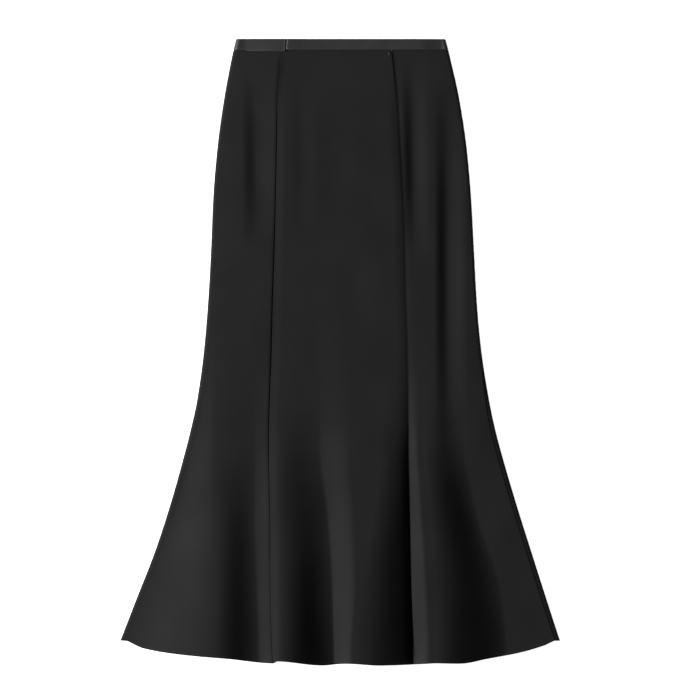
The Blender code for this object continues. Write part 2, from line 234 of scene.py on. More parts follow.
@dataclass(frozen=True)
class Form:
    """The heights and lines of the laid skirt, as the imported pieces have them."""

    length: float = 0.956
    cloth: float = 0.0012
    seam_gap: float = 0.0003
    band_left: float = 0.0168
    band_right: float = 0.0160
    back_shows: float = 0.0022
    hem_middle: float = 0.945
    nest: float = 0.45
    shoulder: float = 8.0
    side_sharp: float = 0.30
    share_grows: tuple[float, float] = (0.60, 0.76)
    left_seam_angle: float = -35.0
    right_seam_hip: float = 0.0
    right_seam_hem: float = 80.0
    right_seam_turns: tuple[float, float] = (0.42, 0.60)

    def station(self, name: str, drop: Array) -> Array:
        """One of the stations' values at depths below the waist edge."""
        keys = np.array([row.drop for row in STATIONS])
        values = np.array([getattr(row, name) for row in STATIONS])
        return through(keys, values, np.asarray(drop, float))

    def hem_drop(self, across: Array) -> Array:
        """Depth of the back hem below the waist edge."""
        return through(np.array(HEM_PLACES), np.array(HEM_DROPS), np.asarray(across, float))

    def band_depth(self, across: Array) -> Array:
        """Depth of the waistband, which narrows from the left side to the right."""
        left, right = STATIONS[0].left_edge, STATIONS[0].right_edge
        return self.band_left + (self.band_right - self.band_left) * (across - left) / (right - left)

    def climb(self, t: Array, sharp: float) -> Array:
        """The way from a trough, 0, up to a rounded crest, 1."""
        t = np.clip(t, 0.0, 1.0)
        return (1.0 - sharp) * np.sin(math.pi * t / 2.0) ** 2 + sharp * (1.0 - (1.0 - t) ** 2)

    def flutes(self, across: Array, drop: Array) -> Array:
        """The flutes' profile.

        Args:
            across: places across.
            drop: depths below the waist edge.

        Returns:
            0 in the deepest troughs to 1 at the full lift.
        """
        across, drop = np.broadcast_arrays(np.asarray(across, float), np.asarray(drop, float))
        keys = np.array(FOLD_DROPS)
        grown = ease((drop - self.share_grows[0]) / (self.share_grows[1] - self.share_grows[0]))
        lines = [(0.0, self.side_sharp, self.station("left_edge", drop) + self.station("roll", drop))]
        for fold in FOLDS:
            share = fold.early + (fold.share - fold.early) * grown
            lines.append((share, fold.sharp, through(keys, np.array(fold.places()), drop)))
        lines.append((0.0, self.side_sharp,
                      self.station("right_edge", drop) - self.station("roll", drop)))
        profile = np.zeros(across.shape)
        for (share, sharp, start), (next_share, next_sharp, end) in zip(lines, lines[1:]):
            t = (across - start) / (end - start)
            rising = share + (next_share - share) * self.climb(t, sharp)
            falling = next_share + (share - next_share) * self.climb(1.0 - t, next_sharp)
            value = np.where(next_share >= share, rising, falling)
            profile = np.where((across >= start) & (across < end), value, profile)
        return profile

    def front_height(self, across: Array, drop: Array) -> Array:
        """Height of the middle of the front's cloth above the floor.

        Args:
            across: places across.
            drop: depths below the waist edge.

        Returns:
            The heights.
        """
        left, right = self.station("left_edge", drop), self.station("right_edge", drop)
        side, middle = self.station("side_height", drop), self.station("mid_height", drop)
        reach = np.clip(np.abs(2.0 * across - left - right) / (right - left), 0.0, 1.0)
        height = middle + (side - middle) * reach ** self.shoulder
        height = height + self.station("lift", drop) * self.flutes(across, drop)
        for hollow in HOLLOWS:
            height = height - self.hollow_depth(hollow, across, drop)
        pressed = ease((drop - 0.03) / 0.10)
        for press in PRESSES:
            offset = across - self.station(press.seam, drop)
            left_share = np.clip(1.0 + offset / press.left_width, 0.0, 1.0) ** 2
            right_share = np.clip(1.0 - offset / press.right_width, 0.0, 1.0) ** 2
            sunk = np.where(offset < 0.0, press.left_depth * left_share, press.right_depth * right_share)
            height = height - pressed * sunk
        return height

    def hollow_depth(self, hollow: Hollow, across: Array, drop: Array) -> Array:
        """How far one hollow sinks the cloth.

        Args:
            hollow: the hollow.
            across: places across.
            drop: depths below the waist edge.

        Returns:
            The depths.
        """
        t = np.clip((drop - hollow.top) / (hollow.end - hollow.top), 0.0, 1.0)
        centre = hollow.top_across + (hollow.end_across - hollow.top_across) * t
        side = np.where(across < centre, (across - centre) / hollow.left, (across - centre) / hollow.right)
        bank = np.cos(math.pi / 2.0 * np.clip(side, -1.0, 1.0)) ** 2
        return hollow.depth * np.sin(math.pi * t) * bank

    def back_height(self, across: Array, drop: Array, wall: float) -> Array:
        """Height of the middle of the back's cloth, on the floor between its flutes."""
        return wall / 2.0 + self.nest * self.station("lift", drop) * self.flutes(across, drop)

    def line_across(self, line: Line, drop: Array, wall: float) -> Array:
        """Where a line lies, with the rolled sides' flat ends allowed for."""
        place = self.station(line.name, drop)
        if line.name == "left_edge":
            return place + wall / 2.0 + self.station("roll", drop) + line.inset
        if line.name == "right_edge":
            return place - wall / 2.0 - self.station("roll", drop) - line.inset
        return place + line.inset

    def right_seam_angle(self, drop: Array) -> Array:
        """The right side seam turns from the side at the hips onto the front above the hem."""
        start, end = self.right_seam_turns
        turn = ease((drop - start) / (end - start))
        return self.right_seam_hip + (self.right_seam_hem - self.right_seam_hip) * turn

    def place(self, across: Array, drop: Array, height: Array) -> Array:
        """Turns across, depth and height into points."""
        return np.stack([across, self.length / 2.0 - drop, height + 0.0 * across], axis=-1)


@dataclass(frozen=True)
class RowPlan:
    """The rows down a piece: close together at both ends, at true distances from them."""

    top: tuple[float, ...]
    middle: int
    bottom: tuple[float, ...]

    def drops(self, start: float, end: float) -> Array:
        """The rows' depths between a column's start and end."""
        first, last = start + self.top[-1], end - self.bottom[-1]
        between = np.linspace(first, last, self.middle + 2)[1:-1]
        return np.concatenate([start + np.array(self.top), between, end - np.array(self.bottom)[::-1]])


@dataclass(frozen=True)
class Cut:
    """How a piece's columns run: its wall, its rows, its own ends if it has them, and its raising."""

    wall: float
    rows: RowPlan
    top: float | None = None
    end: float | None = None
    raised: float = 0.0

    def drops(self, form: Form, waist: float, hem: float, back: bool) -> Array:
        """Depths of a column's rows.

        Args:
            form: the laid skirt.
            waist: where the column lies across at the waistband.
            hem: where it lies across near the hem.
            back: whether it ends at the back hem, which shows below the front one.

        Returns:
            The depths, from the top down.
        """
        start, end = self.top, self.end
        if start is None:
            start = float(form.band_depth(waist)) + form.seam_gap
        if end is None:
            reach = (hem / STATIONS[-2].right_edge) ** 2
            end = float(form.hem_drop(hem)) - (0.0 if back else form.back_shows * max(1.0 - reach, 0.0))
        return self.rows.drops(start, end)


@dataclass(frozen=True)
class FlatStretch:
    """Cloth across the front or the back, between two lines."""

    first: Line
    last: Line
    face: Face
    samples: int = 240
    weight: float = 1.0

    def column(self, form: Form, cut: Cut, share: float) -> Array:
        """Points down the cloth, a share of the way from one line to the other."""
        waist_drop, hem_drop = form.band_left, form.hem_middle

        def between(drop: Array) -> Array:
            """Where the column lies across."""
            first = form.line_across(self.first, drop, cut.wall)
            return first * (1.0 - share) + form.line_across(self.last, drop, cut.wall) * share

        back = self.face is Face.BACK
        drop = cut.drops(form, float(between(waist_drop)), float(between(hem_drop)), back)
        across = between(drop)
        if back:
            return form.place(across, drop, form.back_height(across, drop, cut.wall))
        return form.place(across, drop, form.front_height(across, drop) + cut.raised)


@dataclass(frozen=True)
class RollStretch:
    """Cloth round a rolled side; an angle of None is the right side seam's, which turns on its way."""

    side: Side
    start: float | None
    end: float | None
    samples: int = 48
    weight: float = 2.2

    def column(self, form: Form, cut: Cut, share: float) -> Array:
        """Points down the cloth, a share of the way from one angle to the other."""
        edge = Line("left_edge" if self.side is Side.LEFT else "right_edge")
        waist, hem = (getattr(STATIONS[row], edge.name) for row in (0, -2))
        drop = cut.drops(form, waist, hem, True)
        first = form.right_seam_angle(drop) if self.start is None else self.start
        last = form.right_seam_angle(drop) if self.end is None else self.end
        turn = np.radians(first + (last - first) * share + 0.0 * drop)
        inner = form.line_across(edge, drop, cut.wall)
        upper = form.front_height(inner, drop) + cut.raised
        lower = form.back_height(inner, drop, cut.wall)
        across = inner + self.side.value * form.station("roll", drop) * np.cos(turn)
        height = (upper + lower) / 2.0 + (upper - lower) / 2.0 * np.sin(turn)
        return form.place(across, drop, height)


# --- cloth as fine shells ---

@dataclass
class Panel:
    """The middle of a piece's cloth as rows of points, with each point's distances from the edges."""

    points: Array
    along: Array
    from_first: Array
    from_last: Array
    from_top: Array
    from_hem: Array

    def normals(self) -> Array:
        """The outward direction at each point."""
        across = np.gradient(self.points, axis=1)
        normal = np.cross(np.gradient(self.points, axis=0), across)
        return normal / np.maximum(np.linalg.norm(normal, axis=-1, keepdims=True), 1e-12)

    def from_sides(self) -> Array:
        """Distance from the nearer of the first and last edges."""
        return np.minimum(self.from_first, self.from_last)

    def flat_size(self) -> tuple[float, float]:
        """Width and length of the cloth that the piece is cut from."""
        return float(self.along[:, -1].max()), float(self.from_hem[0].max())

    def area(self) -> float:
        """Area of the piece as cut, without its allowances."""
        rise = np.diff(self.points, axis=0)[:, :-1]
        run = np.diff(self.points, axis=1)[:-1]
        return float(np.linalg.norm(np.cross(rise, run), axis=-1).sum())

    def pattern_map(self) -> Array:
        """Each point's place on the flat cloth, in metres from the middle of its top edge."""
        middle = self.along[:, -1:] / 2.0
        return np.stack([self.along - middle, -self.from_top], axis=-1)


@dataclass(frozen=True)
class ColumnPlan:
    """The columns across a piece: at true distances beside its edges, and evenly between."""

    edge: tuple[float, ...]
    middle: int
    first_off: float = 0.0
    last_off: float = 0.0

    def lay(self, form: Form, cuts: list[tuple[FlatStretch | RollStretch, Cut]]) -> Panel:
        """Makes the panel that runs over stretches of cloth.

        Args:
            form: the laid skirt.
            cuts: the stretches from the first edge to the last, each with its cut.

        Returns:
            The panel.
        """
        columns = []
        weights = []
        for stretch, cut in cuts:
            shares = np.linspace(0.0, 1.0, stretch.samples + 1)
            if columns:
                shares = shares[1:]
            columns.extend(stretch.column(form, cut, share) for share in shares)
            weights.extend([stretch.weight] * len(shares))
        dense = np.stack(columns, axis=1)
        steps = np.linalg.norm(np.diff(dense, axis=1), axis=-1)
        start = np.zeros((len(dense), 1))
        travelled = np.concatenate([start, np.cumsum(steps, axis=1)], axis=1)
        weighted = np.concatenate([start, np.cumsum(steps * np.array(weights[1:]), axis=1)], axis=1)
        count = 2 * len(self.edge) + self.middle
        points = np.empty((len(dense), count, 3))
        along = np.empty((len(dense), count))
        offsets = np.array(self.edge)
        for r in range(len(dense)):
            first = np.interp(self.first_off + offsets, travelled[r], weighted[r])
            last = np.interp(travelled[r, -1] - self.last_off - offsets[::-1], travelled[r], weighted[r])
            between = np.linspace(first[-1], last[0], self.middle + 2)[1:-1]
            wanted = np.concatenate([first, between, last])
            along[r] = np.interp(wanted, weighted[r], travelled[r])
            for axis in range(3):
                points[r, :, axis] = np.interp(wanted, weighted[r], dense[r, :, axis])
        down = np.linalg.norm(np.diff(points, axis=0), axis=-1)
        from_top = np.concatenate([np.zeros((1, count)), np.cumsum(down, axis=0)], axis=0)
        first, last = along - along[:, :1], along[:, -1:] - along
        return Panel(points, along, first, last, from_top, from_top[-1:] - from_top)


def rounded(distance: Array, radius: float, least: float) -> Array:
    """How full a wall is near its edge.

    Args:
        distance: distance from the edge.
        radius: how far in the rounding reaches.
        least: fullness at the very edge.

    Returns:
        From least at the edge to 1 at the radius and beyond.
    """
    inward = 1.0 - np.clip(distance / radius, 0.0, 1.0)
    return least + (1.0 - least) * np.sqrt(1.0 - inward ** 2)


def placed(name: str, mesh: bpy.types.Mesh) -> bpy.types.Object:
    """Puts a smooth mesh into the scene as a piece."""
    mesh.shade_smooth()
    piece = bpy.data.objects.new(name, mesh)
    bpy.context.scene.collection.objects.link(piece)
    return piece


def joined_copies(name: str, copies: Array, faces: list[list[int]]) -> bpy.types.Object:
    """Joins copies of one small shape as a piece.

    Args:
        name: the piece's name.
        copies: each copy's points.
        faces: the faces of one copy.

    Returns:
        The piece.
    """
    mesh = bpy.data.meshes.new(name)
    all_faces = [[corner + k * copies.shape[1] for corner in face]
                 for k in range(len(copies)) for face in faces]
    mesh.from_pydata(copies.reshape(-1, 3).tolist(), [], all_faces)
    return placed(name, mesh)


def shell(name: str, outer: Array, inner: Array, pattern: Array) -> bpy.types.Object:
    """Closes the wall between two skins.

    Args:
        name: the piece's name.
        outer: rows of points of the outer skin.
        inner: rows of points of the inner skin.
        pattern: each point's place on the flat cloth.

    Returns:
        The piece, with its cloth map.
    """
    rows, columns = outer.shape[:2]
    count = rows * columns
    up = np.arange(count).reshape(rows, columns)
    low = up + count
    skin = np.stack([up[:-1, :-1], up[1:, :-1], up[1:, 1:], up[:-1, 1:]], axis=-1).reshape(-1, 4)
    lining = np.stack([low[:-1, :-1], low[:-1, 1:], low[1:, 1:], low[1:, :-1]], axis=-1).reshape(-1, 4)
    rim = np.concatenate([up[0, :-1], up[:-1, -1], up[-1, :0:-1], up[:0:-1, 0]])
    after = np.roll(rim, -1)
    walls = np.stack([rim, after, after + count, rim + count], axis=-1)
    mesh = bpy.data.meshes.new(name)
    vertices = np.concatenate([outer.reshape(-1, 3), inner.reshape(-1, 3)])
    mesh.from_pydata(vertices.tolist(), [], np.concatenate([skin, lining, walls]).tolist())
    used = np.empty(len(mesh.loops), np.int32)
    mesh.loops.foreach_get("vertex_index", used)
    flat = np.concatenate([pattern.reshape(-1, 2)] * 2)
    layer = mesh.uv_layers.new(name=CLOTH_MAP)
    layer.data.foreach_set("uv", flat[used].ravel().astype(np.float32))
    return placed(name, mesh)


def mark_edge_shade_and_highlight(piece: bpy.types.Object, share: Array) -> None:
    """Keeps on a shell, from 0 to 1, how much each of its points takes the edge colour: painted shade
    beside the gores' seams, and on the band a paler lower edge and a painted highlight.
    """
    mark = piece.data.attributes.new(EDGE_SHADE_AND_HIGHLIGHT, "FLOAT", "POINT")
    mark.data.foreach_set("value", np.tile(np.clip(share, 0.0, 1.0).ravel(), 2).astype(np.float32))


@dataclass(frozen=True)
class Drape:
    """Slow unevenness of cloth that lies loose: long waves that run mostly down the skirt."""

    seed: int
    height: float = 0.00016
    waves: int = 10
    across: tuple[float, float] = (0.050, 0.130)
    down: tuple[float, float] = (0.160, 0.520)

    def at(self, points: Array) -> Array:
        """The unevenness at points, along their normals."""
        draw = np.random.default_rng(self.seed)
        total = np.zeros(points.shape[:-1])
        for _ in range(self.waves):
            width, length = draw.uniform(*self.across), draw.uniform(*self.down)
            lean, phase = draw.choice((-1.0, 1.0)), draw.uniform(0.0, math.tau)
            total += np.sin(math.tau * (points[..., 0] / width + lean * points[..., 1] / length) + phase)
        return self.height * total / math.sqrt(self.waves)


@dataclass(frozen=True)
class Pucker:
    """Small uneven ripples of cloth that a row of stitches draws in, dying out away from it."""

    pitch: float = 0.0135
    height: float = 0.00010
    reach: float = 0.0060
    wander: float = 0.0760

    def at(self, along: Array, away: Array, phase: float) -> Array:
        """The ripples, from the way along the stitches and the distance from them."""
        turn = math.tau * along / self.pitch + 1.9 * np.sin(math.tau * along / self.wander + phase)
        swell = 0.65 + 0.35 * np.sin(math.tau * along / (3.1 * self.wander) + 2.0 * phase)
        return self.height * swell * np.sin(turn + phase) * np.exp(-away / self.reach)


@dataclass(frozen=True)
class Stitch:
    """One stitch of sewing thread."""

    length: float = 0.0026
    pitch: float = 0.0034
    radius: float = 0.00021
    sides: int = 6

    def model(self) -> tuple[Array, list[list[int]]]:
        """Models one stitch that lies along X.

        Returns:
            Its points and its faces.
        """
        bpy.ops.object.select_all(action="DESELECT")
        bpy.ops.mesh.primitive_cylinder_add(vertices=self.sides, radius=self.radius,
                                            depth=self.length * 0.7, end_fill_type="TRIFAN")
        piece = bpy.context.object
        bpy.ops.object.mode_set(mode="EDIT")
        bpy.ops.mesh.select_all(action="DESELECT")
        bpy.ops.object.mode_set(mode="OBJECT")
        for vertex in piece.data.vertices:
            vertex.select = math.hypot(vertex.co.x, vertex.co.y) < self.radius / 2.0
        for vertex in piece.data.vertices:
            if vertex.select:
                vertex.co.z *= 1.0 / 0.7
        points = np.array([vertex.co for vertex in piece.data.vertices])
        faces = [list(face.vertices) for face in piece.data.polygons]
        bpy.data.objects.remove(piece, do_unlink=True)
        return points[:, [2, 0, 1]], faces

    def row(self, name: str, path: Array, normal: Array) -> bpy.types.Object:
        """Sews a row of stitches along a path as one joined mesh.

        Args:
            name: the piece's name.
            path: points along the seam, on the cloth.
            normal: the cloth's outward direction at each of them.

        Returns:
            The piece.
        """
        points, faces = self.model()
        steps = np.linalg.norm(np.diff(path, axis=0), axis=-1)
        travelled = np.concatenate([[0.0], np.cumsum(steps)])
        places = np.arange(self.pitch, travelled[-1] - self.pitch, self.pitch)

        def read(values: Array, at: Array) -> Array:
            """Values along the path, between its points."""
            return np.stack([np.interp(at, travelled, values[:, axis]) for axis in range(3)], axis=-1)

        centre, up = read(path, places), read(normal, places)
        along = read(path, places + self.length / 2.0) - read(path, places - self.length / 2.0)
        along /= np.linalg.norm(along, axis=-1, keepdims=True)
        side = np.cross(up, along)
        side /= np.linalg.norm(side, axis=-1, keepdims=True)
        up = np.cross(along, side)
        turned = (centre[:, None] + points[None, :, :1] * along[:, None]
                  + points[None, :, 1:2] * side[:, None] + points[None, :, 2:] * up[:, None])
        return joined_copies(name, turned, faces)


# --- finishes ---

class Bench:
    """A material with a principled shader, and short ways to add nodes to it."""

    def __init__(self, name: str) -> None:
        """Starts a material."""
        self.material = bpy.data.materials.new(name)
        self.material.use_nodes = True
        self.tree = self.material.node_tree
        self.shader = self.tree.nodes["Principled BSDF"]

    def node(self, kind: str, **values: object) -> bpy.types.Node:
        """Adds a node.

        Args:
            kind: its Blender type.
            values: its properties by name, and its inputs' values by name with _ for a space.

        Returns:
            The node.
        """
        made = self.tree.nodes.new(kind)
        for key, value in values.items():
            if hasattr(made, key):
                setattr(made, key, value)
            else:
                made.inputs[key.replace("_", " ")].default_value = value
        return made

    def link(self, source: bpy.types.NodeSocket, target: bpy.types.NodeSocket) -> None:
        """Joins two sockets."""
        self.tree.links.new(source, target)

    def set(self, **values: object) -> None:
        """Sets the shader's own sockets to values that are the same all over."""
        for key, value in values.items():
            self.shader.inputs[key.replace("_", " ")].default_value = value

    def noise(self, place: bpy.types.NodeSocket, scale: float, detail: float = 2.0,
              roughness: float = 0.5) -> bpy.types.NodeSocket:
        """A noise at so many spots a metre.

        Args:
            place: the coordinates.
            scale: spots a metre.
            detail: how many finer layers it has.
            roughness: how strong they are.

        Returns:
            Its value.
        """
        made = self.node("ShaderNodeTexNoise", Scale=scale, Detail=detail, Roughness=roughness)
        self.link(place, made.inputs["Vector"])
        return made.outputs["Fac"]

    def ranged(self, value: bpy.types.NodeSocket, low: float, high: float,
               start: float = 0.0, end: float = 1.0) -> bpy.types.NodeSocket:
        """Turns a value between start and end into one between low and high."""
        made = self.node("ShaderNodeMapRange", From_Min=start, From_Max=end, To_Min=low, To_Max=high)
        self.link(value, made.inputs["Value"])
        return made.outputs["Result"]

    def sum(self, first: bpy.types.NodeSocket, second: bpy.types.NodeSocket,
            share: float) -> bpy.types.NodeSocket:
        """The first value plus a share of the second."""
        made = self.node("ShaderNodeMath", operation="MULTIPLY_ADD")
        self.link(second, made.inputs[0])
        made.inputs[1].default_value = share
        self.link(first, made.inputs[2])
        return made.outputs["Value"]

    def blend(self, share: bpy.types.NodeSocket, first: tuple[float, float, float],
              second: tuple[float, float, float]) -> bpy.types.NodeSocket:
        """A colour between two."""
        made = self.node("ShaderNodeMix", data_type="RGBA")
        self.link(share, made.inputs["Factor"])
        for socket, colour in zip(self.colours(made.inputs), (first, second)):
            socket.default_value = (*colour, 1.0)
        return self.colours(made.outputs)[0]

    def towards_edge_shade_and_highlight(self, colour: bpy.types.NodeSocket,
                      edge: tuple[float, float, float]) -> bpy.types.NodeSocket:
        """A colour that turns to another where the piece's edges are marked: painted seam shade on the
        gores, a paler lower edge and a painted highlight on the band.
        """
        marked = self.node("ShaderNodeAttribute", attribute_name=EDGE_SHADE_AND_HIGHLIGHT)
        made = self.node("ShaderNodeMix", data_type="RGBA")
        self.link(marked.outputs["Fac"], made.inputs["Factor"])
        first, second = self.colours(made.inputs)
        self.link(colour, first)
        second.default_value = (*edge, 1.0)
        return self.colours(made.outputs)[0]

    @staticmethod
    def colours(sockets: bpy.types.bpy_prop_collection) -> list[bpy.types.NodeSocket]:
        """The sockets that carry colours."""
        return [socket for socket in sockets if socket.type == "RGBA"]

    def bump(self, height: bpy.types.NodeSocket, strength: float, distance: float) -> None:
        """Raises the surface by a height."""
        made = self.node("ShaderNodeBump", Strength=strength, Distance=distance)
        self.link(height, made.inputs["Height"])
        self.link(made.outputs["Normal"], self.shader.inputs["Normal"])


@dataclass(frozen=True)
class CrepeFinish:
    """Matte crepe: a fine pebbled grain, hardly any shine, a slow variation of its depth of dye, and
    painted shade that darkens its colour along the seams.
    """

    name: str = "black_crepe"
    deep: tuple[float, float, float] = (0.0142, 0.0137, 0.0146)
    faded: tuple[float, float, float] = (0.0178, 0.0172, 0.0182)
    # Painted shade: the colour that the cloth darkens to beside its seams.
    seam: tuple[float, float, float] = (0.0035, 0.0033, 0.0036)
    pebbles: float = 1250.0
    twist: float = 520.0
    slow: float = 11.0

    def made(self) -> bpy.types.Material:
        """The material."""
        bench = Bench(self.name)
        place = bench.node("ShaderNodeUVMap", uv_map=CLOTH_MAP).outputs["UV"]
        stretched = bench.node("ShaderNodeMapping", vector_type="POINT")
        stretched.inputs["Scale"].default_value = (1.0, 0.55, 1.0)
        bench.link(place, stretched.inputs["Vector"])
        grain = bench.noise(stretched.outputs["Vector"], self.pebbles, 3.0, 0.6)
        cells = bench.node("ShaderNodeTexVoronoi", Scale=self.twist, Randomness=1.0)
        bench.link(stretched.outputs["Vector"], cells.inputs["Vector"])
        height = bench.sum(grain, cells.outputs["Distance"], 0.45)
        bench.bump(height, 0.55, 0.00016)
        patches = bench.noise(place, self.slow, 3.0, 0.45)
        shade = bench.ranged(bench.sum(patches, grain, 0.35), 0.0, 1.0, 0.45, 0.90)
        colour = bench.towards_edge_shade_and_highlight(bench.blend(shade, self.deep, self.faded), self.seam)
        bench.link(colour, bench.shader.inputs["Base Color"])
        bench.link(bench.ranged(grain, 0.80, 0.94, 0.3, 0.7), bench.shader.inputs["Roughness"])
        bench.set(Specular_IOR_Level=0.12, Sheen_Weight=0.04, Sheen_Roughness=0.45)
        return bench.material


@dataclass(frozen=True)
class BandFinish:
    """Ribbed satin ribbon: fine ribs across its length, a soft sheen, paler lower edges and a painted
    highlight along the lap's lower edge and at its end.
    """

    name: str = "black_ribbed_satin"
    deep: tuple[float, float, float] = (0.0275, 0.0272, 0.0275)
    bright: tuple[float, float, float] = (0.0350, 0.0346, 0.0350)
    # Paler colour for the lower edges, which on the lap is painted highlight.
    edge: tuple[float, float, float] = (0.0560, 0.0545, 0.0580)
    ribs: float = 1300.0
    slow: float = 38.0

    def made(self) -> bpy.types.Material:
        """The material."""
        bench = Bench(self.name)
        place = bench.node("ShaderNodeUVMap", uv_map=CLOTH_MAP).outputs["UV"]
        wave = bench.node("ShaderNodeTexWave", wave_type="BANDS", bands_direction="X",
                          Scale=self.ribs / 20.0, Distortion=0.35, Detail=1.0)
        bench.link(place, wave.inputs["Vector"])
        grain = bench.noise(place, 1500.0, 2.0, 0.5)
        bench.bump(bench.sum(wave.outputs["Fac"], grain, 0.4), 0.4, 0.00007)
        patches = bench.noise(place, self.slow, 2.0, 0.5)
        shade = bench.ranged(patches, 0.0, 1.0, 0.32, 0.68)
        colour = bench.blend(shade, self.deep, self.bright)
        bench.link(bench.towards_edge_shade_and_highlight(colour, self.edge), bench.shader.inputs["Base Color"])
        bench.link(bench.ranged(grain, 0.44, 0.58, 0.3, 0.7), bench.shader.inputs["Roughness"])
        bench.set(Specular_IOR_Level=0.30, Sheen_Weight=0.05, Sheen_Roughness=0.35)
        return bench.material


@dataclass(frozen=True)
class PlainFinish:
    """A small part's finish: two close colours mixed by a grain, which also roughens it."""

    name: str
    deep: tuple[float, float, float]
    bright: tuple[float, float, float]
    roughness: tuple[float, float]
    grain: float
    relief: float
    metallic: float = 0.0
    specular: float = 0.3

    def made(self) -> bpy.types.Material:
        """The material."""
        bench = Bench(self.name)
        place = bench.node("ShaderNodeTexCoord").outputs["Object"]
        grain = bench.noise(place, self.grain, 3.0, 0.55)
        bench.bump(grain, 0.4, self.relief)
        shade = bench.ranged(grain, 0.0, 1.0, 0.35, 0.65)
        bench.link(bench.blend(shade, self.deep, self.bright), bench.shader.inputs["Base Color"])
        bench.link(bench.ranged(grain, *self.roughness, 0.3, 0.7), bench.shader.inputs["Roughness"])
        bench.set(Metallic=self.metallic, Specular_IOR_Level=self.specular)
        return bench.material


THREAD = PlainFinish("black_sewing_thread", (0.016, 0.015, 0.017), (0.030, 0.029, 0.031), (0.50, 0.66),
                     2600.0, 0.00004)
TACK_THREAD = PlainFinish("grey_tacking_thread", (0.060, 0.055, 0.062), (0.090, 0.084, 0.092),
                          (0.50, 0.62), 2600.0, 0.00005)
TAPE = PlainFinish("woven_zip_tape", (0.009, 0.009, 0.010), (0.015, 0.015, 0.016), (0.66, 0.80),
                   1400.0, 0.00010, specular=0.15)
COIL = PlainFinish("black_nylon_coil", (0.012, 0.012, 0.012), (0.020, 0.020, 0.020), (0.30, 0.42),
                   2200.0, 0.00002, specular=0.5)
LACQUER = PlainFinish("black_lacquered_metal", (0.014, 0.014, 0.014), (0.030, 0.030, 0.031),
                      (0.24, 0.36), 900.0, 0.00001, metallic=0.8, specular=0.5)


# --- the gores ---

@dataclass(frozen=True)
class Seam:
    """A pressed seam between the gore before it and the one after it, going round the skirt.

    The cloth sinks by so much before and after it, its edges keep so full and stand half a slit off
    the seam's line, its shade paints shade into their colour, and its stitches draw in ripples.
    """

    before: float
    after: float
    reach: float
    full: float
    half: float
    shade: float
    phase: float
    ripple: float = 1.0


# The sixth value, shade, is painted shade: how far the cloth's colour darkens beside each seam.
LEFT_FRONT = Seam(0.00110, -0.00060, 0.0034, 0.95, 0.0, 0.06, 0.7, 0.7)
RIGHT_FRONT = Seam(0.00000, -0.00020, 0.0019, 0.40, 0.00024, 1.00, 2.9, 0.8)
LEFT_SIDE = Seam(0.00025, 0.00025, 0.0012, 0.40, 0.0, 0.70, 4.1)
RIGHT_SIDE = Seam(0.00035, 0.00035, 0.0012, 0.25, 0.0, 0.95, 5.2, 1.6)
LEFT_BACK = Seam(0.00030, 0.00030, 0.0012, 0.40, 0.0, 0.80, 1.6)
RIGHT_BACK = Seam(0.00030, 0.00030, 0.0012, 0.40, 0.0, 0.80, 3.7)


@dataclass(frozen=True)
class Gore:
    """One gore: the CAD node that it stands for, its stretches of cloth, and the seams at its ends."""

    node: str
    stretches: tuple[FlatStretch | RollStretch, ...]
    first: Seam
    last: Seam
    columns: int
    seed: int


LEFT_EDGE, RIGHT_EDGE = Line("left_edge"), Line("right_edge")
LEFT_SEAM, RIGHT_SEAM = Line("left_seam"), Line("right_seam")


